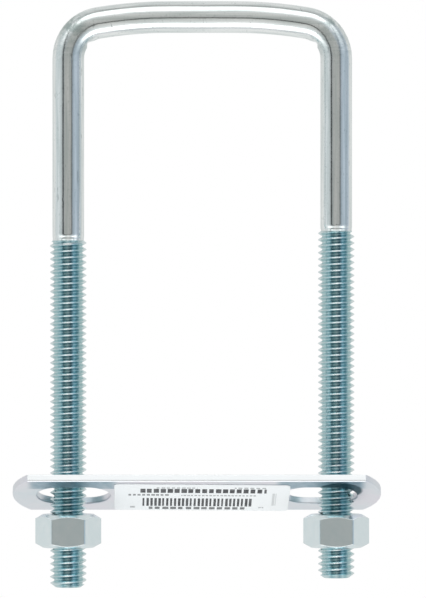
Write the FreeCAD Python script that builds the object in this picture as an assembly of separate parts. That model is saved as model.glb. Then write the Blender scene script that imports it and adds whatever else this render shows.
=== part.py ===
"""Square-bend U-bolt with a slotted clamp plate, two hex nuts and a paper label.

Frame: the origin is the middle of the saddle, on the underside of the crossbar, where the clamped post
bears. +X runs from the left leg to the right leg, +Z from the nuts to the crossbar, and the bar's
centreline lies in the XZ plane. All sizes are in millimetres and degrees.
"""
import FreeCAD, Part
import math
import os

V = FreeCAD.Vector
X_AXIS = V(1, 0, 0)
Z_AXIS = V(0, 0, 1)

# ---- bar: one length of round stock, bent twice ----
BAR_DIAMETER = 6.91  # a rolled thread raises its crests from stock of the pitch diameter
LEG_SPACING = 58.35  # between the legs' axes, which leaves about 2 in inside
BEND_RADIUS = 7.8  # of the centreline, at each corner
BEND_ANGLE = 80.5
EASE_RADIUS = 93.0  # of the slow curve that finishes each bend into the crossbar
LEFT_END = -120.69  # height of each leg's lower end; the left leg was cut a little longer
RIGHT_END = -118.63

# ---- dents that the bending former leaves inside the corners ----
FORMER_HALF_WIDTH = 25.09
FORMER_TOP = -2.03
FORMER_SLOPE = 12.0
FORMER_CORNER_RADIUS = 0.6
FORMER_DEPTH = 40.0
DENT_LENGTH = 4.0  # how far in from the former's corners its dents reach

# ---- 5/16-18 unified thread, rolled on both legs ----
THREAD_PITCH = 25.4 / 18
THREAD_DIAMETER = 7.9
THREAD_LENGTH = 75.4
THREAD_DEPTH = 0.86
THREAD_FLANK_ANGLE = 30.0
THREAD_ROOT_WIDTH = THREAD_PITCH / 6
THREAD_DATUM = -47.87  # a height where both legs have a root on the +X side and a crest on the -X side
THREAD_OVERCUT = 0.1  # how far the groove's solid stands out past the crests
RUN_OUT_RISE = 0.47  # how far the root rises in the last turn
END_CHAMFER_RADIUS = 2.75
END_CHAMFER_HEIGHT = 0.9
SHOULDER_HEIGHT = 0.35
NECK_LENGTH = 1.0
NECK_DEPTH = 0.07

# ---- hex nuts, nominally 1/2 in across flats ----
NUT_ACROSS_FLATS = 12.55
NUT_HEIGHT = 7.2
NUT_TOP = -104.82
NUT_CORNER_RADIUS = 0.5
NUT_FACE_RADIUS = 5.6
NUT_CHAMFER_ANGLE = 30.0
NUT_MOUTH_DEPTH = 0.7
LEFT_NUT_TURN = 1.4
RIGHT_NUT_TURN = -0.8
THREAD_CLEARANCE = 0.09  # between the nut's thread and the leg's, on the radius and across the flanks

# ---- clamp plate, sheared and punched from 3/4 in strip ----
PLATE_LENGTH = 80.14
PLATE_WIDTH = 19.05
PLATE_THICKNESS = 1.5
PLATE_END_RADIUS = 14.5
PLATE_EDGE_ROLL = 0.3
PLATE_CENTRE = V(-1.18, -0.37, -100.1)
PLATE_TILT = 21.75  # the plate leans on its legs, front edge up
SLOT_LENGTH = 16.0
SLOT_WIDTH = 10.5
SLOT_OFFSET = 26.83  # from the plate's middle to each slot's middle

# ---- paper label on the plate's nut side ----
LABEL_LENGTH = 38.1
LABEL_WIDTH = 16.9
LABEL_THICKNESS = 0.12
LABEL_CORNER_RADIUS = 1.2
LABEL_OFFSET = V(1.08, 0.85, 0)
LABEL_TURN = 1.25

BAR_RADIUS = BAR_DIAMETER / 2
THREAD_RADIUS = THREAD_DIAMETER / 2
ROOT_RADIUS = THREAD_RADIUS - THREAD_DEPTH
LEG_X = LEG_SPACING / 2
FLANK_SLOPE = math.tan(math.radians(THREAD_FLANK_ANGLE))


def revolve_about_z(points):
    """A solid of revolution from (radius, height) points, the first and last of them on the axis."""
    outline = Part.makePolygon([V(r, 0, z) for r, z in points + points[:1]])
    return Part.Face(outline).revolve(V(0, 0, 0), Z_AXIS, 360)


def v_corners(root_radius, root_half_width):
    """The groove's V with a flat root, as (radius, height) corners about the root's middle."""
    mouth = THREAD_RADIUS + THREAD_OVERCUT
    mouth_half_width = root_half_width + (mouth - root_radius) * FLANK_SLOPE
    return [
        (root_radius, -root_half_width),
        (mouth, -mouth_half_width),
        (mouth, mouth_half_width),
        (root_radius, root_half_width),
    ]


def helical_strips(corners, rise):
    """One right-hand turn of each side of the V, with its radius growing by rise over the turn."""
    climb = math.degrees(math.atan2(rise, THREAD_PITCH))
    paths = []
    for radius, height in corners:
        path = Part.makeHelix(THREAD_PITCH, THREAD_PITCH, radius, climb)
        path.translate(V(0, 0, height))
        paths.append(path.Edges[0])
    return [Part.makeRuledSurface(a, b) for a, b in zip(paths, paths[1:] + paths[:1])]


def v_cap(corners, height, rise):
    """The flat end of the V in the XZ plane."""
    points = [V(radius + rise, 0, height + z) for radius, z in corners]
    return Part.Face(Part.makePolygon(points + points[:1]))


def helical_v(corners, low, turns, rise):
    """A solid V groove that starts at height low on the +X side, with one more turn that rises."""
    strips = helical_strips(corners, 0)
    faces = [s.translated(V(0, 0, low + i * THREAD_PITCH)) for i in range(turns) for s in strips]
    top = low + turns * THREAD_PITCH
    if rise:
        faces += [s.translated(V(0, 0, top)) for s in helical_strips(corners, rise)]
        top += THREAD_PITCH
    shell = Part.makeShell(faces + [v_cap(corners, low, 0), v_cap(corners, top, rise)])
    shell.sewShape()
    groove = Part.makeSolid(shell)
    if groove.Volume < 0:
        groove.reverse()
    return groove


def threaded_end(leg_x, end):
    """The threaded length of one leg, with its end chamfer, run-out and neck."""
    start = end + THREAD_LENGTH
    neck_middle = start + NECK_LENGTH / 2
    blank = revolve_about_z(
        [
            (0, end),
            (END_CHAMFER_RADIUS, end),
            (THREAD_RADIUS, end + END_CHAMFER_HEIGHT),
            (THREAD_RADIUS, start - SHOULDER_HEIGHT),
            (BAR_RADIUS - NECK_DEPTH / 2, start),
            (BAR_RADIUS - NECK_DEPTH, neck_middle),
            (BAR_RADIUS, start + NECK_LENGTH),
            (0, start + NECK_LENGTH),
        ]
    )
    turns_above = math.floor((start - THREAD_DATUM) / THREAD_PITCH)
    turns_below = math.ceil((THREAD_DATUM - end) / THREAD_PITCH) + 1
    low = THREAD_DATUM - turns_below * THREAD_PITCH
    corners = v_corners(ROOT_RADIUS, THREAD_ROOT_WIDTH / 2)
    leg = blank.cut(helical_v(corners, low, turns_above + turns_below, RUN_OUT_RISE))
    leg.translate(V(leg_x, 0, 0))
    return leg


def bend_points(side):
    """The centreline points of one corner, from the leg up to the crossbar: side is -1 left, +1 right."""
    bend = math.radians(BEND_ANGLE)
    ease = math.radians(90 - BEND_ANGLE)
    ease_centre_z = BAR_RADIUS - EASE_RADIUS
    join_z = ease_centre_z + EASE_RADIUS * math.cos(ease)
    bend_centre_x = LEG_X - BEND_RADIUS
    bend_centre_z = join_z - BEND_RADIUS * math.sin(bend)
    join_x = bend_centre_x + BEND_RADIUS * math.cos(bend)
    ease_centre_x = join_x - EASE_RADIUS * math.sin(ease)
    points = [V(LEG_X, 0, bend_centre_z)]
    points.append(arc_point(bend_centre_x, bend_centre_z, BEND_RADIUS, bend / 2))
    points.append(V(join_x, 0, join_z))
    points.append(arc_point(ease_centre_x, ease_centre_z, EASE_RADIUS, math.pi / 2 - ease / 2))
    points.append(V(ease_centre_x, 0, BAR_RADIUS))
    return [V(side * p.x, 0, p.z) for p in points]


def arc_point(centre_x, centre_z, radius, angle):
    """A point on an arc in the XZ plane, with the angle measured from +X."""
    return V(centre_x + radius * math.cos(angle), 0, centre_z + radius * math.sin(angle))


def former():
    """The block that the bar was bent round, whose corners dent the inside of both bends."""
    slope = math.tan(math.radians(FORMER_SLOPE))
    crown = FORMER_TOP + FORMER_HALF_WIDTH * slope
    foot = FORMER_TOP - FORMER_DEPTH
    front = -FORMER_DEPTH / 2
    outline = [
        V(-FORMER_HALF_WIDTH, front, foot),
        V(FORMER_HALF_WIDTH, front, foot),
        V(FORMER_HALF_WIDTH, front, FORMER_TOP),
        V(0, front, crown),
        V(-FORMER_HALF_WIDTH, front, FORMER_TOP),
    ]
    block = Part.Face(Part.makePolygon(outline + outline[:1])).extrude(V(0, FORMER_DEPTH, 0))
    corners = [
        e
        for e in block.Edges
        if abs(abs(e.CenterOfMass.x) - FORMER_HALF_WIDTH) < 1e-6
        and abs(e.CenterOfMass.z - FORMER_TOP) < 1e-6
    ]
    return block.makeFillet(FORMER_CORNER_RADIUS, corners)


def crossbar_clearance():
    """The part of the former that is under the middle of the crossbar, where it leaves no dent."""
    reach = FORMER_HALF_WIDTH - DENT_LENGTH
    low = V(-reach, -FORMER_DEPTH, FORMER_TOP - 2 * FORMER_DEPTH)
    return Part.makeBox(2 * reach, 2 * FORMER_DEPTH, 3 * FORMER_DEPTH, low)


def u_rod():
    """The bent bar with a rolled thread on each leg."""
    left = bend_points(-1)
    right = bend_points(1)
    left_top = V(-LEG_X, 0, LEFT_END + THREAD_LENGTH + NECK_LENGTH)
    right_top = V(LEG_X, 0, RIGHT_END + THREAD_LENGTH + NECK_LENGTH)
    edges = [
        Part.LineSegment(left_top, left[0]).toShape(),
        Part.Arc(left[0], left[1], left[2]).toShape(),
        Part.Arc(left[2], left[3], left[4]).toShape(),
        Part.LineSegment(left[4], right[4]).toShape(),
        Part.Arc(right[4], right[3], right[2]).toShape(),
        Part.Arc(right[2], right[1], right[0]).toShape(),
        Part.LineSegment(right[0], right_top).toShape(),
    ]
    section = Part.Wire(Part.makeCircle(BAR_RADIUS, left_top, Z_AXIS))
    bar = Part.Wire(edges).makePipeShell([section], True, False)
    bar = bar.cut(former().cut(crossbar_clearance()))
    threads = [threaded_end(-LEG_X, LEFT_END), threaded_end(LEG_X, RIGHT_END)]
    return bar.fuse(threads)


def nut_blank():
    """A hexagonal block chamfered at both ends, standing on z = 0 with a flat towards -Y."""
    corner = NUT_ACROSS_FLATS / 2 / math.cos(math.pi / 6)
    points = [V(corner * math.cos(i * math.pi / 3), corner * math.sin(i * math.pi / 3), 0) for i in range(6)]
    block = Part.Face(Part.makePolygon(points + points[:1])).extrude(V(0, 0, NUT_HEIGHT))
    upright = [e for e in block.Edges if abs(e.tangentAt(e.FirstParameter).z) > 0.99]
    block = block.makeFillet(NUT_CORNER_RADIUS, upright)
    rise = (corner - NUT_FACE_RADIUS) * math.tan(math.radians(NUT_CHAMFER_ANGLE))
    spindle = revolve_about_z(
        [
            (0, 0),
            (NUT_FACE_RADIUS, 0),
            (corner, rise),
            (corner, NUT_HEIGHT - rise),
            (NUT_FACE_RADIUS, NUT_HEIGHT),
            (0, NUT_HEIGHT),
        ]
    )
    return block.common(spindle)


def tapped_core():
    """What is bored and tapped out of a nut: a blown-up copy of the leg's thread, about the Z axis."""
    bottom = NUT_TOP - NUT_HEIGHT
    crest = THREAD_RADIUS + THREAD_CLEARANCE
    root = ROOT_RADIUS + 2 * THREAD_CLEARANCE
    flank_gap = THREAD_CLEARANCE / math.cos(math.radians(THREAD_FLANK_ANGLE))
    half_root = THREAD_ROOT_WIDTH / 2 + 2 * THREAD_CLEARANCE * FLANK_SLOPE - flank_gap
    turns_below = math.ceil((THREAD_DATUM - bottom) / THREAD_PITCH) + 1
    turns = math.ceil(NUT_HEIGHT / THREAD_PITCH) + 2
    low = THREAD_DATUM - turns_below * THREAD_PITCH
    core = Part.makeCylinder(crest, NUT_HEIGHT, V(0, 0, bottom), Z_AXIS)
    core = core.cut(helical_v(v_corners(root, half_root), low, turns, 0))
    for height, inward in ((bottom, 1), (NUT_TOP, -1)):
        mouth_end = crest - NUT_MOUTH_DEPTH
        core = core.fuse(Part.makeCone(crest, mouth_end, NUT_MOUTH_DEPTH, V(0, 0, height), V(0, 0, inward)))
    return core


def hex_nut(leg_x, turn):
    """One nut on its leg, with its flats turned about the leg's axis."""
    nut = nut_blank()
    nut.rotate(V(0, 0, 0), Z_AXIS, turn)
    nut.translate(V(0, 0, NUT_TOP - NUT_HEIGHT))
    nut = nut.cut(tapped_core())
    nut.translate(V(leg_x, 0, 0))
    return nut


def slot_outline(centre_x):
    """A round-ended slot's wire on the XY plane."""
    radius = SLOT_WIDTH / 2
    run = SLOT_LENGTH / 2 - radius
    right_end = V(centre_x + run, 0, 0)
    left_end = V(centre_x - run, 0, 0)
    up = V(0, radius, 0)
    out = V(radius, 0, 0)
    edges = [
        Part.LineSegment(left_end - up, right_end - up).toShape(),
        Part.Arc(right_end - up, right_end + out, right_end + up).toShape(),
        Part.LineSegment(right_end + up, left_end + up).toShape(),
        Part.Arc(left_end + up, left_end - out, left_end - up).toShape(),
    ]
    return Part.Wire(edges)


def plate_outline():
    """The strip's wire on the XY plane, with both ends sheared to an arc."""
    half_width = PLATE_WIDTH / 2
    sagitta = PLATE_END_RADIUS - math.sqrt(PLATE_END_RADIUS**2 - half_width**2)
    tip = PLATE_LENGTH / 2
    shoulder = tip - sagitta
    edges = [
        Part.LineSegment(V(-shoulder, -half_width, 0), V(shoulder, -half_width, 0)).toShape(),
        Part.Arc(V(shoulder, -half_width, 0), V(tip, 0, 0), V(shoulder, half_width, 0)).toShape(),
        Part.LineSegment(V(shoulder, half_width, 0), V(-shoulder, half_width, 0)).toShape(),
        Part.Arc(V(-shoulder, half_width, 0), V(-tip, 0, 0), V(-shoulder, -half_width, 0)).toShape(),
    ]
    return Part.Wire(edges)


def edges_at(shape, height):
    """The shape's edges that lie at one height."""
    return [e for e in shape.Edges if max(abs(v.Point.z - height) for v in e.Vertexes) < 1e-6]


def place_on_legs(shape):
    """Lean a shape that was drawn about the plate's own middle, and carry it to the plate's place."""
    shape.rotate(V(0, 0, 0), X_AXIS, -PLATE_TILT)
    shape.translate(PLATE_CENTRE)
    return shape


def clamp_plate():
    """The slotted plate. Its nut side has the rounded edges that the punch drew in."""
    thickness = V(0, 0, PLATE_THICKNESS)
    plate = Part.Face(plate_outline()).extrude(thickness)
    for middle in (-SLOT_OFFSET, SLOT_OFFSET):
        plate = plate.cut(Part.Face(slot_outline(middle)).extrude(thickness))
    plate = plate.makeFillet(PLATE_EDGE_ROLL, edges_at(plate, 0))
    plate.translate(V(0, 0, -PLATE_THICKNESS / 2))
    return place_on_legs(plate)


def paper_label():
    """The label on the plate's nut side, stuck on a little askew."""
    sheet = Part.makeBox(LABEL_LENGTH, LABEL_WIDTH, LABEL_THICKNESS)
    sheet.translate(V(-LABEL_LENGTH / 2, -LABEL_WIDTH / 2, -PLATE_THICKNESS / 2 - LABEL_THICKNESS))
    upright = [e for e in sheet.Edges if abs(e.tangentAt(e.FirstParameter).z) > 0.99]
    sheet = sheet.makeFillet(LABEL_CORNER_RADIUS, upright)
    sheet.rotate(V(0, 0, 0), Z_AXIS, LABEL_TURN)
    sheet.translate(LABEL_OFFSET)
    return place_on_legs(sheet)


os.makedirs("parts", exist_ok=True)
nodes = {
    "u_rod": u_rod(),
    "clamp_plate": clamp_plate(),
    "hex_nut_left": hex_nut(-LEG_X, LEFT_NUT_TURN),
    "hex_nut_right": hex_nut(LEG_X, RIGHT_NUT_TURN),
    "paper_label": paper_label(),
}
for name, shape in nodes.items():
    shape.exportStep("parts/" + name + ".step")
    box = shape.BoundBox
    print(name, shape.ShapeType, len(shape.Solids), len(shape.Faces), shape.isValid())
    print("  volume", round(shape.Volume, 2), "x", round(box.XMin, 2), round(box.XMax, 2))
    print("  y", round(box.YMin, 2), round(box.YMax, 2), "z", round(box.ZMin, 2), round(box.ZMax, 2))
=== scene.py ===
"""Looks of the zinc-plated square U-bolt: studio, camera, metal finishes and the label's print."""

import math

import bpy
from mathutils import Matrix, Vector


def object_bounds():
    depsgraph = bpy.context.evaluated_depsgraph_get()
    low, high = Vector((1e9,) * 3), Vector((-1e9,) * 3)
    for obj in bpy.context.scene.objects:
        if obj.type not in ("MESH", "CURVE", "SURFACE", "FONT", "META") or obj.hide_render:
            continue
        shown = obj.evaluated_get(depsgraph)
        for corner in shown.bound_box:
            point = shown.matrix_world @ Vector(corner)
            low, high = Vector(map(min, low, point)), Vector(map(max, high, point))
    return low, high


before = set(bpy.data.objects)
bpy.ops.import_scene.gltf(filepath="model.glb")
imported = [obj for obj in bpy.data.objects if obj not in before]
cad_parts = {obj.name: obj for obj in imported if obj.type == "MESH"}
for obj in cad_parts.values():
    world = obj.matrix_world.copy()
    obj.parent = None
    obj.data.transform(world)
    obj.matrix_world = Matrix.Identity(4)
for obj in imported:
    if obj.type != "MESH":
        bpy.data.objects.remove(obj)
cad_low, cad_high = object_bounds()

MM = 0.001

# ---- camera: level, square on to the plane of the legs ----
CAMERA_DISTANCE = 0.950
CAMERA_SIDE = 2.34 * MM
CAMERA_DROP = 57.955 * MM  # below the saddle
CAMERA_CLIP = (0.05, 20.0)
SENSOR = 36.0
FRAME_HEIGHT = 130.24 * MM  # how much of the legs' plane the picture's long side holds

# ---- studio: brightness by the angle off the camera's axis, to each side, above and below ----
LEFT_WALL = [(0, 0.40), (28, 0.41), (43, 0.43), (50, 0.55), (59, 0.64), (68, 0.67), (96, 0.67), (108, 0.74),
             (121, 0.74), (138, 0.69), (160, 0.72), (180, 0.80)]
RIGHT_WALL = [(0, 0.40), (18, 0.40), (36, 0.42), (46, 0.49), (54, 0.53), (62, 0.53), (70, 0.48), (80, 0.44),
              (89, 0.44), (100, 0.60), (112, 0.71), (127, 0.73), (145, 0.70), (180, 0.80)]
CEILING = [(0, 0.45), (7.5, 0.49), (15, 0.52), (22, 0.55), (30, 0.61), (37, 0.70), (42, 0.90), (46, 1.20),
           (52, 1.60), (58, 1.80), (70, 1.80), (75, 1.30), (79, 0.80), (84, 0.58), (94, 0.56), (101, 0.64),
           (114, 0.73), (130, 0.70), (157, 0.78), (180, 0.80)]
TABLE = [(0, 0.45), (14, 0.52), (21, 0.60), (29, 0.64), (36, 0.72), (43, 0.86), (48, 1.10), (53, 2.00),
         (58, 2.60), (70, 2.60), (75, 2.00), (80, 1.05), (87, 0.88), (100, 0.78), (116, 0.78), (131, 0.76),
         (154, 0.74), (180, 0.80)]
LEFT_TINT = (0.92, 1.00, 1.03)
RIGHT_TINT = (0.85, 1.00, 1.15)
LEVEL_TINT = (0.97, 1.00, 1.00)
PANEL_TINT = (0.97, 1.00, 0.98)
PANEL_EDGE = (20.0, 36.0)  # degrees over which the panel's tint gives way to the wall's
BEHIND = (92.0, 112.0)  # degrees over which the wall's tint gives way to the level one
# a dark gap round the camera's panel: angle off the axis, half-width and depth, to left, right, up and down
GAP_ANGLE = (36.0, 27.0, 90.0, 9.0)
GAP_WIDTH = (5.4, 5.5, 3.5, 4.0)
GAP_DEPTH = (0.97, 0.58, 0.45, 0.93)
FLOOR_HALF_SIZE = 250 * MM
FLOOR_GAP = 0.6 * MM

# ---- the bolt's own places ----
LEG_X = 29.175 * MM
CREST_RADIUS = 3.95 * MM
CREST_BLEND = (0.16 * MM, 0.02 * MM)  # how far under the crest its colour starts, and is full
LEFT_THREAD_TOP = -45.29 * MM
RIGHT_THREAD_TOP = -43.23 * MM
PLATE_TILT = math.radians(21.75)
LABEL_CENTRE = (-0.10 * MM, 0.119 * MM, -101.167 * MM)
LABEL_TURN = math.radians(1.25)
THREAD_EDGE = (-0.1 * MM, 0.25 * MM)  # where the thread's plating ends, about its top
NECK_ABOVE_THREAD = 0.62 * MM
NECK_HALF_WIDTH = 0.5 * MM
# shade painted between the plate and the nuts at rest; it stays on the bolt when they move
SHADED_THREAD = (-104.6 * MM, -99.0 * MM)
CROSSBAR_FROM = (-9 * MM, -1 * MM)  # heights over which the grain turns from the legs to the crossbar
BEND_FROM_X = (24 * MM, 28 * MM)
BEND_FROM_Z = (-7 * MM, -2 * MM)
# ---- marks that bending left on the corners, and painted shade in the inner corners: place in the plane of the legs, size and strength ----
SCUFFS = (((-28.6 * MM, 2.0 * MM), 2.8 * MM, 1.5), ((28.6 * MM, 2.4 * MM), 2.6 * MM, 0.8))
INNER_CORNER_SHADE = (((-25.4 * MM, -3.4 * MM), 1.9 * MM, 1.0), ((25.4 * MM, -3.4 * MM), 1.9 * MM, 0.7))
# ---- the plate: its middle, and painted shade in its own axes, rightward and towards its front edge ----
PLATE_MIDDLE = (-1.18 * MM, -0.37 * MM, -100.1 * MM)
PLATE_FRONT = 9.525 * MM
NUT_SIDE_DEPTH = (0.2 * MM, 0.6 * MM)  # below the plate's middle
SLOT_X = 26.83 * MM
SLOT_SHADE_HALF_LENGTH = (8.2 * MM, 10.2 * MM)  # where it starts to fade, and is gone
SLOT_SHADE_DEPTHS = (4.6 * MM, 9.1 * MM)
END_SHADE_PLACE = (30.98 * MM, 3.3 * MM)
END_SHADE_RADIUS = (4.5 * MM, 5.3 * MM)

# ---- wear: how far the rounded normal turns where it starts, and where it is full ----
WORN_TURN = (0.005, 0.12)

# ---- colours across a leg's threads: share of the width from the left, the groove's, the crest's ----
# They hold painted studio shade and highlights as well as plating, and are fixed to the bolt, so they don't
# follow the light.
THREAD_TINTS = (
    (0.06, (0.61, 0.75, 0.77), (0.82, 0.88, 0.89)),
    (0.19, (0.64, 0.79, 0.81), (0.62, 0.73, 0.74)),
    (0.27, (0.56, 0.72, 0.75), (0.52, 0.66, 0.70)),
    (0.36, (0.26, 0.46, 0.51), (0.66, 0.79, 0.84)),
    (0.43, (0.36, 0.56, 0.59), (0.97, 0.99, 1.00)),
    (0.50, (0.48, 0.62, 0.65), (0.98, 0.99, 1.00)),
    (0.58, (0.20, 0.36, 0.41), (0.86, 0.91, 0.94)),
    (0.66, (0.46, 0.66, 0.71), (0.46, 0.59, 0.66)),
    (0.74, (0.28, 0.52, 0.56), (0.38, 0.53, 0.57)),
    (0.83, (0.62, 0.76, 0.77), (0.66, 0.80, 0.78)),
    (0.95, (0.62, 0.76, 0.77), (0.86, 0.92, 0.92)),
)


def node(tree, kind, **settings):
    """A new node, with its properties, and its inputs by name or number."""
    made = tree.nodes.new(kind)
    inputs = settings.pop("inputs", {})
    for name, value in settings.items():
        setattr(made, name, value)
    for name, value in inputs.items():
        if isinstance(value, bpy.types.NodeSocket):
            tree.links.new(value, made.inputs[name])
        else:
            made.inputs[name].default_value = value
    return made


def math_node(tree, operation, *values, clamp=False):
    """One Math node's result."""
    made = node(tree, "ShaderNodeMath", operation=operation, use_clamp=clamp, inputs=dict(enumerate(values)))
    return made.outputs[0]


def add(tree, *values):
    """The sum of two or more values."""
    total = values[0]
    for value in values[1:]:
        total = math_node(tree, "ADD", total, value)
    return total


def product(tree, *values):
    """Two or more values multiplied together."""
    total = values[0]
    for value in values[1:]:
        total = math_node(tree, "MULTIPLY", total, value)
    return total


def minus(tree, first, second):
    """The first value less the second."""
    return math_node(tree, "SUBTRACT", first, second)


def square(tree, value):
    """A value times itself."""
    return math_node(tree, "MULTIPLY", value, value)


def dot(tree, vector, axis):
    """The dot product of two vectors."""
    made = node(tree, "ShaderNodeVectorMath", operation="DOT_PRODUCT", inputs={0: vector, 1: axis})
    return made.outputs["Value"]


def relative(tree, place, origin):
    """A place measured from an origin."""
    made = node(tree, "ShaderNodeVectorMath", operation="SUBTRACT", inputs={0: place, 1: origin})
    return made.outputs[0]


def step(tree, value, low, high):
    """0 below low and 1 above high, smooth between."""
    made = node(
        tree,
        "ShaderNodeMapRange",
        interpolation_type="SMOOTHSTEP",
        inputs={"Value": value, "From Min": low, "From Max": high, "To Min": 0.0, "To Max": 1.0},
    )
    return made.outputs["Result"]


def band(tree, value, low, high, soft):
    """1 where a value is between low and high."""
    rise = step(tree, value, low - soft, low + soft)
    fall = step(tree, value, high - soft, high + soft)
    return minus(tree, rise, fall)


def mix(tree, factor, first, second, blend="MIX"):
    """A colour mix's result."""
    made = node(tree, "ShaderNodeMix", data_type="RGBA", blend_type=blend)
    for socket, value in ((made.inputs[0], factor), (made.inputs[6], first), (made.inputs[7], second)):
        if isinstance(value, bpy.types.NodeSocket):
            tree.links.new(value, socket)
        elif isinstance(value, (int, float)):
            socket.default_value = value
        else:
            socket.default_value = (*value, 1.0)
    return made.outputs[2]


def ramp(tree, value, stops):
    """A colour ramp's result, from (place, colour) stops."""
    made = node(tree, "ShaderNodeValToRGB", inputs={0: value})
    elements = made.color_ramp.elements
    while len(elements) < len(stops):
        elements.new(0.5)
    for element, (place, colour) in zip(elements, sorted(stops, key=lambda s: s[0])):
        element.position = place
        element.color = (*colour, 1.0)
    return made.outputs[0]


def grey(level, tint=(1.0, 1.0, 1.0)):
    """A linear colour of one level, with a slight tint."""
    return tuple(level * t for t in tint)


def wall(tree, angle, profile, tint):
    """A wall's colour by angle, from (degrees, brightness) pairs, scaled so that the ramp stays below 1."""
    top = max(level for _, level in profile)
    stops = [(degrees / 180.0, grey(level / top)) for degrees, level in profile]
    shade = ramp(tree, math_node(tree, "DIVIDE", angle, 180.0), stops)
    tinted = mix(tree, step(tree, angle, *PANEL_EDGE), grey(top, PANEL_TINT), grey(top, tint))
    tinted = mix(tree, step(tree, angle, *BEHIND), tinted, grey(top, LEVEL_TINT))
    return mix(tree, 1.0, shade, tinted, blend="MULTIPLY")


def weighted(tree, weights, values):
    """The sum of each weight times its plain number."""
    return add(tree, *[product(tree, weight, value) for weight, value in zip(weights, values)])


# ---- studio ----


def make_world():
    """A soft studio: a grey panel round the camera, white boxes over and under it, pale walls beside."""
    world = bpy.data.worlds.new("studio")
    world.use_nodes = True
    tree = world.node_tree
    tree.nodes.clear()
    direction = node(tree, "ShaderNodeTexCoord").outputs["Generated"]
    unit = node(tree, "ShaderNodeVectorMath", operation="NORMALIZE", inputs={0: direction}).outputs[0]
    xyz = node(tree, "ShaderNodeSeparateXYZ", inputs={0: unit})
    x, y, z = xyz.outputs
    front = product(tree, y, -1.0)
    angle = math_node(tree, "DEGREES", math_node(tree, "ARCCOSINE", front))
    spread = math_node(tree, "MAXIMUM", add(tree, square(tree, x), square(tree, z)), 1e-6)
    weights = []
    for axis, sign in ((x, -1.0), (x, 1.0), (z, 1.0), (z, -1.0)):
        towards = math_node(tree, "MAXIMUM", product(tree, axis, sign), 0.0)
        weights.append(math_node(tree, "DIVIDE", square(tree, towards), spread))
    walls = (0.0, 0.0, 0.0)
    profiles = ((LEFT_WALL, LEFT_TINT), (RIGHT_WALL, RIGHT_TINT), (CEILING, LEVEL_TINT), (TABLE, LEVEL_TINT))
    for weight, (profile, tint) in zip(weights, profiles):
        part = mix(tree, weight, (0.0, 0.0, 0.0), wall(tree, angle, profile, tint))
        walls = mix(tree, 1.0, walls, part, blend="ADD")
    off = minus(tree, angle, weighted(tree, weights, GAP_ANGLE))
    share = math_node(tree, "DIVIDE", off, weighted(tree, weights, GAP_WIDTH))
    fall = math_node(tree, "EXPONENT", product(tree, square(tree, share), -1.0))
    gap = product(tree, fall, weighted(tree, weights, GAP_DEPTH))
    walls = mix(tree, gap, walls, (0.0, 0.0, 0.0))

    seen = node(tree, "ShaderNodeBackground", inputs={"Color": (1, 1, 1, 1), "Strength": 1.0})
    mirrored = node(tree, "ShaderNodeBackground", inputs={"Color": walls, "Strength": 1.0})
    camera_ray = node(tree, "ShaderNodeLightPath").outputs["Is Camera Ray"]
    both = node(
        tree,
        "ShaderNodeMixShader",
        inputs={0: camera_ray, 1: mirrored.outputs[0], 2: seen.outputs[0]},
    )
    node(tree, "ShaderNodeOutputWorld", inputs={"Surface": both.outputs[0]})
    bpy.context.scene.world = world


def make_floor():
    """A small white table under the hanging bolt."""
    half = FLOOR_HALF_SIZE
    level = cad_low.z - FLOOR_GAP
    mesh = bpy.data.meshes.new("floor")
    corners = [(-half, -half, level), (half, -half, level), (half, half, level), (-half, half, level)]
    mesh.from_pydata(corners, [], [(0, 1, 2, 3)])
    floor = bpy.data.objects.new("floor", mesh)
    bpy.context.scene.collection.objects.link(floor)
    material = bpy.data.materials.new("white_table")
    material.use_nodes = True
    tree = material.node_tree
    tree.nodes.clear()
    glow = node(tree, "ShaderNodeEmission", inputs={"Color": (1, 1, 1, 1), "Strength": 1.0})
    clear = node(tree, "ShaderNodeBsdfTransparent")
    camera_ray = node(tree, "ShaderNodeLightPath").outputs["Is Camera Ray"]
    table = node(
        tree, "ShaderNodeMixShader", inputs={0: camera_ray, 1: clear.outputs[0], 2: glow.outputs[0]}
    )
    node(tree, "ShaderNodeOutputMaterial", inputs={"Surface": table.outputs[0]})
    mesh.materials.append(material)


def make_camera():
    """A long lens, level and square on to the plane of the legs."""
    camera = bpy.data.cameras.new("camera")
    camera.sensor_width = SENSOR
    camera.lens = SENSOR * CAMERA_DISTANCE / FRAME_HEIGHT
    camera.clip_start, camera.clip_end = CAMERA_CLIP
    holder = bpy.data.objects.new("camera", camera)
    holder.location = (CAMERA_SIDE, -CAMERA_DISTANCE, -CAMERA_DROP)
    holder.rotation_euler = (math.radians(90), 0, 0)
    bpy.context.scene.collection.objects.link(holder)
    bpy.context.scene.camera = holder


# ---- finishes: heights are in metres, so that bumps are true to scale, and noise is in features a metre ----


def new_material(name):
    """An empty node material, with its tree and its Object coordinates."""
    material = bpy.data.materials.new(name)
    material.use_nodes = True
    tree = material.node_tree
    tree.nodes.clear()
    return material, tree, node(tree, "ShaderNodeTexCoord").outputs["Object"]


def stretched(tree, place, scale, detail=3.0, roughness=0.55):
    """Noise from 0 to 1, stretched along the directions where scale is small."""
    squeezed = node(tree, "ShaderNodeMapping", inputs={"Vector": place, "Scale": scale})
    noise = node(
        tree,
        "ShaderNodeTexNoise",
        inputs={"Vector": squeezed.outputs[0], "Scale": 1.0, "Detail": detail, "Roughness": roughness},
    )
    return noise.outputs["Fac"]


def edge_wear(tree, radius):
    """How near a surface point is to a sharp edge, from 0 to 1, and the normal rounded over that edge."""
    rounded = node(tree, "ShaderNodeBevel", samples=6, inputs={"Radius": radius}).outputs[0]
    flat = node(tree, "ShaderNodeNewGeometry").outputs["Normal"]
    turned = minus(tree, 1.0, dot(tree, rounded, flat))
    return step(tree, turned, *WORN_TURN), rounded


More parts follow.
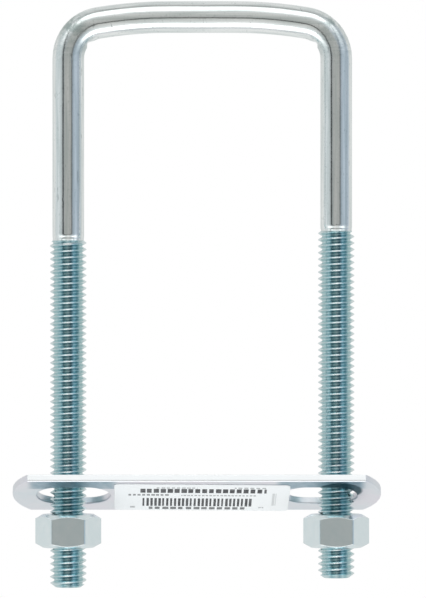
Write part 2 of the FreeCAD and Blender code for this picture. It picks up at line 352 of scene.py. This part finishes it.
def finish(tree, colour, roughness, height, rounded, metallic=1.0):
    """The surface shader, with its bump laid over the rounded edges."""
    bump = node(
        tree,
        "ShaderNodeBump",
        inputs={"Height": height, "Strength": 1.0, "Distance": 1.0, "Normal": rounded},
    )
    shader = node(
        tree,
        "ShaderNodeBsdfPrincipled",
        inputs={
            "Base Color": colour,
            "Metallic": metallic,
            "Roughness": roughness,
            "Normal": bump.outputs[0],
        },
    )
    node(tree, "ShaderNodeOutputMaterial", inputs={"Surface": shader.outputs[0]})


# ---- the bar ----


def lengthwise(tree, place, on_bar, across, along, detail=3.0):
    """Noise stretched along the bar, down the legs and over the crossbar."""
    leg = stretched(tree, place, (across, across, along), detail=detail)
    crossbar = stretched(tree, place, (along, across, across), detail=detail)
    return mix(tree, on_bar, leg, crossbar)


def spots(tree, x, z, places):
    """The sum of soft spots in the plane of the legs, from (middle, size, strength) triples."""
    shades = []
    for middle, size, strength in places:
        squares = [square(tree, minus(tree, value, at)) for value, at in zip((x, z), middle)]
        fade = math_node(tree, "EXPONENT", product(tree, add(tree, *squares), -1.0 / (size * size)))
        shades.append(product(tree, fade, strength))
    return add(tree, *shades)


def thread_colour(tree, x, y, z, mottle):
    """Blue-grey grooves, lighter crests, painted shade and highlights across each leg, painted shade under
    the plate.
    """
    aside = minus(tree, math_node(tree, "ABSOLUTE", x), LEG_X)
    radius = math_node(tree, "SQRT", add(tree, square(tree, aside), square(tree, y)))
    crest_start, crest_full = CREST_BLEND
    crest = step(tree, radius, CREST_RADIUS - crest_start, CREST_RADIUS - crest_full)
    rightward = product(tree, aside, math_node(tree, "SIGN", x))
    from_left = add(tree, 0.5, product(tree, rightward, 0.5 / CREST_RADIUS))
    groove = ramp(tree, from_left, [(share, dark) for share, dark, _ in THREAD_TINTS])
    light = ramp(tree, from_left, [(share, bright) for share, _, bright in THREAD_TINTS])
    groove = mix(tree, product(tree, mottle, 0.18), groove, (0.78, 0.90, 0.90))
    shaded = band(tree, z, *SHADED_THREAD, soft=0.6 * MM)
    groove = mix(tree, product(tree, shaded, 0.45), groove, (0.16, 0.36, 0.40))
    return mix(tree, crest, groove, light)


def zinc_rod():
    """Drawn bar with lengthwise streaks, scuffed corners, and blue-grey rolled threads."""
    material, tree, place = new_material("zinc_rod")
    x, y, z = node(tree, "ShaderNodeSeparateXYZ", inputs={0: place}).outputs
    on_bar = step(tree, z, *CROSSBAR_FROM)
    grain = lengthwise(tree, place, on_bar, across=1500.0, along=60.0)
    wave = lengthwise(tree, place, on_bar, across=420.0, along=110.0, detail=2.0)
    mottle = stretched(tree, place, (150.0, 150.0, 80.0), detail=5.0)
    patchy = stretched(tree, place, (330.0, 330.0, 330.0), detail=6.0, roughness=0.7)
    grit = stretched(tree, place, (1800.0, 1800.0, 1300.0), detail=3.0, roughness=0.6)
    pits = step(tree, stretched(tree, place, (900.0, 900.0, 260.0), detail=2.0), 0.66, 0.74)

    on_right = math_node(tree, "GREATER_THAN", x, 0.0)
    thread_top = add(tree, LEFT_THREAD_TOP, product(tree, on_right, RIGHT_THREAD_TOP - LEFT_THREAD_TOP))
    above = minus(tree, z, thread_top)
    threaded = minus(tree, 1.0, step(tree, above, *THREAD_EDGE))

    outward = step(tree, math_node(tree, "ABSOLUTE", x), *BEND_FROM_X)
    bend = product(tree, outward, step(tree, z, *BEND_FROM_Z))
    rubbed = add(tree, spots(tree, x, z, SCUFFS), product(tree, bend, 0.25))
    scuff = math_node(tree, "MULTIPLY", rubbed, step(tree, patchy, 0.38, 0.60), clamp=True)
    # painted shade in the inner corners of the bends
    inner_corner_shade = spots(tree, x, z, INNER_CORNER_SHADE)

    wear, rounded = edge_wear(tree, 0.26 * MM)
    shank = mix(tree, step(tree, grain, 0.34, 0.66), (0.80, 0.84, 0.83), (0.99, 0.995, 0.985))
    marks = (
        (product(tree, step(tree, grit, 0.56, 0.72), 0.35), (0.55, 0.60, 0.58)),
        (product(tree, pits, 0.5), (0.42, 0.45, 0.45)),
        (product(tree, scuff, 0.8), (0.40, 0.47, 0.45)),
        (product(tree, inner_corner_shade, 0.6), (0.45, 0.53, 0.53)),
        (product(tree, wear, 0.5), (0.97, 0.97, 0.96)),
    )
    for amount, mark in marks:
        shank = mix(tree, amount, shank, mark)
    colour = mix(tree, threaded, shank, thread_colour(tree, x, y, z, mottle))

    smooth = add(
        tree, 0.04, product(tree, grain, 0.06), product(tree, mottle, 0.03), product(tree, scuff, 0.22)
    )
    dull = add(tree, 0.10, product(tree, mottle, 0.14))
    roughness = mix(tree, threaded, smooth, dull)
    neck = math_node(tree, "DIVIDE", minus(tree, above, NECK_ABOVE_THREAD), NECK_HALF_WIDTH)
    dip = math_node(tree, "EXPONENT", product(tree, square(tree, neck), -1.0))
    height = add(
        tree,
        product(tree, grain, 0.0014 * MM),
        product(tree, grit, 0.007 * MM),
        product(tree, wave, 0.022 * MM),
        product(tree, bend, patchy, 0.05 * MM),
        product(tree, pits, -0.010 * MM),
        product(tree, dip, -0.16 * MM),
    )
    finish(tree, colour, roughness, height, rounded)
    return material


# ---- the plate and the nuts ----


def plate_shade(tree, place, mottle, colour):
    """Grey-teal shade painted by the slots and round the right slot's end, and a painted highlight along the
    front edge.
    """
    local = relative(tree, place, PLATE_MIDDLE)
    rightward = dot(tree, local, (1.0, 0.0, 0.0))
    frontward = dot(tree, local, (0.0, -math.cos(PLATE_TILT), math.sin(PLATE_TILT)))
    depth = dot(tree, local, (0.0, -math.sin(PLATE_TILT), -math.cos(PLATE_TILT)))
    nut_side = step(tree, depth, *NUT_SIDE_DEPTH)

    off_slot = math_node(tree, "ABSOLUTE", minus(tree, math_node(tree, "ABSOLUTE", rightward), SLOT_X))
    beside = minus(tree, 1.0, step(tree, off_slot, *SLOT_SHADE_HALF_LENGTH))
    in_front = band(tree, frontward, *SLOT_SHADE_DEPTHS, soft=0.25 * MM)
    shade = product(tree, beside, in_front, add(tree, 0.45, mottle), nut_side, 0.85)
    colour = mix(tree, shade, colour, (0.30, 0.44, 0.52))

    across, towards = END_SHADE_PLACE
    offsets = (minus(tree, rightward, across), minus(tree, frontward, towards))
    distance = math_node(tree, "SQRT", add(tree, *[square(tree, offset) for offset in offsets]))
    rim = minus(tree, 1.0, step(tree, distance, *END_SHADE_RADIUS))
    colour = mix(tree, product(tree, rim, nut_side, 0.97), colour, (0.01, 0.08, 0.11))

    # painted highlight along the plate's front edge
    front_edge = step(tree, frontward, PLATE_FRONT - 0.225 * MM, PLATE_FRONT - 0.045 * MM)
    front_highlight = mix(tree, mottle, (0.95, 0.95, 0.96), (0.99, 0.99, 1.00))
    return mix(tree, front_edge, colour, front_highlight)


def zinc_plate():
    """Rolled strip: faint grain along the strip, pale tints in the plating, and bright worn edges."""
    material, tree, place = new_material("zinc_plate")
    grain = stretched(tree, place, (60.0, 1300.0, 1300.0))
    cloud = stretched(tree, place, (75.0, 75.0, 75.0), detail=3.0)
    mottle = stretched(tree, place, (420.0, 420.0, 420.0), detail=5.0)
    wear, rounded = edge_wear(tree, 0.2 * MM)
    tints = (
        (0.30, (0.80, 0.86, 0.90)),
        (0.48, (0.88, 0.88, 0.92)),
        (0.62, (0.92, 0.87, 0.93)),
        (0.75, (0.93, 0.93, 0.92)),
    )
    colour = mix(tree, product(tree, mottle, 0.35), ramp(tree, cloud, tints), (0.78, 0.79, 0.82))
    colour = plate_shade(tree, place, mottle, colour)
    colour = mix(tree, product(tree, wear, 0.8), colour, (0.97, 0.97, 0.98))
    roughness = add(tree, 0.22, product(tree, mottle, 0.20), product(tree, wear, 0.1))
    height = add(tree, product(tree, grain, 0.003 * MM), product(tree, mottle, 0.004 * MM))
    finish(tree, colour, roughness, height, rounded)
    return material


def zinc_nut():
    """Satin plated steel with fine upright marks on the flats and bright worn corners."""
    material, tree, place = new_material("zinc_nut")
    marks = stretched(tree, place, (1100.0, 1100.0, 90.0))
    mottle = stretched(tree, place, (300.0, 300.0, 300.0), detail=5.0)
    blotch = step(tree, stretched(tree, place, (700.0, 700.0, 500.0), detail=4.0), 0.35, 0.70)
    wear, rounded = edge_wear(tree, 0.25 * MM)
    colour = mix(tree, mottle, (0.82, 0.90, 0.92), (0.92, 0.97, 0.98))
    colour = mix(tree, product(tree, blotch, 0.35), colour, (0.76, 0.88, 0.90))
    colour = mix(tree, product(tree, wear, 0.9), colour, (0.99, 0.99, 0.99))
    roughness = add(tree, 0.18, product(tree, mottle, 0.10))
    height = add(tree, product(tree, marks, 0.0035 * MM), product(tree, mottle, 0.010 * MM))
    finish(tree, colour, roughness, height, rounded)
    return material


# ---- the label: paper with rows of plain dashes, in mm from its middle, rightward and down ----

ROWS = (
    # first, last, middle, height, dash pitch, share inked, darkness
    (-10.0, -1.0, -6.2, 0.9, 1.1, 0.55, 0.45),
    (7.0, 14.0, -6.3, 0.9, 1.3, 0.60, 0.50),
    (-13.4, 14.0, -4.3, 2.6, 1.5, 0.66, 1.00),
    (-16.0, -7.0, -1.6, 1.1, 1.0, 0.60, 0.75),
    (-4.5, 12.0, -1.4, 0.8, 0.8, 0.55, 0.55),
    (-13.1, 11.0, 3.1, 5.2, 0.86, 0.42, 1.00),
    (-15.6, -14.4, 6.4, 1.1, 1.2, 0.80, 0.50),
    (12.5, 13.6, 6.4, 0.9, 1.1, 0.80, 0.45),
    (-11.5, 9.5, 7.0, 1.6, 1.7, 0.60, 0.85),
    (15.3, 16.2, 1.0, 8.0, 2.0, 0.90, 0.30),
)
PRINT_SOFTNESS = 0.08


def dashes(tree, u, v, row):
    """The ink of one row of dashes, each a little longer or shorter than the next."""
    first, last, middle, tall, pitch, inked, dark = row
    cell = math_node(tree, "DIVIDE", u, pitch)
    odd = node(
        tree,
        "ShaderNodeTexWhiteNoise",
        noise_dimensions="1D",
        inputs={"W": add(tree, math_node(tree, "FLOOR", cell), middle)},
    ).outputs["Value"]
    length = add(tree, inked, product(tree, odd, 0.5 * (1.0 - inked)))
    dash = math_node(tree, "LESS_THAN", math_node(tree, "FRACT", cell), length)
    along = band(tree, u, first, last, PRINT_SOFTNESS)
    across = band(tree, v, middle - tall / 2, middle + tall / 2, PRINT_SOFTNESS)
    return product(tree, dash, along, across, dark)


def label_print(tree, place):
    """The label's ink, from 0 to 1."""
    turn, tilt = LABEL_TURN, PLATE_TILT
    rightward = (math.cos(turn), math.sin(turn) * math.cos(tilt), -math.sin(turn) * math.sin(tilt))
    down = (-math.sin(turn), math.cos(turn) * math.cos(tilt), -math.cos(turn) * math.sin(tilt))
    local = relative(tree, place, LABEL_CENTRE)
    u, v = (product(tree, dot(tree, local, axis), 1.0 / MM) for axis in (rightward, down))
    ink = dashes(tree, u, v, ROWS[0])
    for row in ROWS[1:]:
        ink = math_node(tree, "MAXIMUM", ink, dashes(tree, u, v, row))
    return ink


def label_paper():
    """Matt white paper with a soft fibre and grey print, a little rubbed at its edges."""
    material, tree, place = new_material("label_paper")
    ink = label_print(tree, place)
    fibre = stretched(tree, place, (900.0, 900.0, 900.0), detail=6.0)
    blotch = stretched(tree, place, (150.0, 150.0, 150.0), detail=3.0)
    rubbed, rounded = edge_wear(tree, 0.15 * MM)
    paper = mix(tree, fibre, (0.93, 0.93, 0.935), (0.98, 0.98, 0.985))
    paper = mix(tree, product(tree, blotch, 0.10), paper, (0.86, 0.86, 0.88))
    paper = mix(tree, product(tree, rubbed, 0.4), paper, (0.74, 0.73, 0.72))
    worn = math_node(tree, "MULTIPLY", ink, add(tree, 0.78, product(tree, fibre, 0.35)), clamp=True)
    colour = mix(tree, worn, paper, (0.035, 0.035, 0.04))
    roughness = add(tree, 0.50, product(tree, fibre, 0.22))
    height = add(tree, product(tree, fibre, 0.004 * MM), product(tree, ink, 0.001 * MM))
    finish(tree, colour, roughness, height, rounded, metallic=0.0)
    return material


def dress(name, material):
    """Give a CAD node its finish."""
    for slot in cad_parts[name].material_slots:
        slot.material = material


make_world()
make_floor()
make_camera()
dress("u_rod", zinc_rod())
dress("clamp_plate", zinc_plate())
nut_finish = zinc_nut()
dress("hex_nut_left", nut_finish)
dress("hex_nut_right", nut_finish)
dress("paper_label", label_paper())
bpy.context.scene.view_settings.view_transform = "Standard"
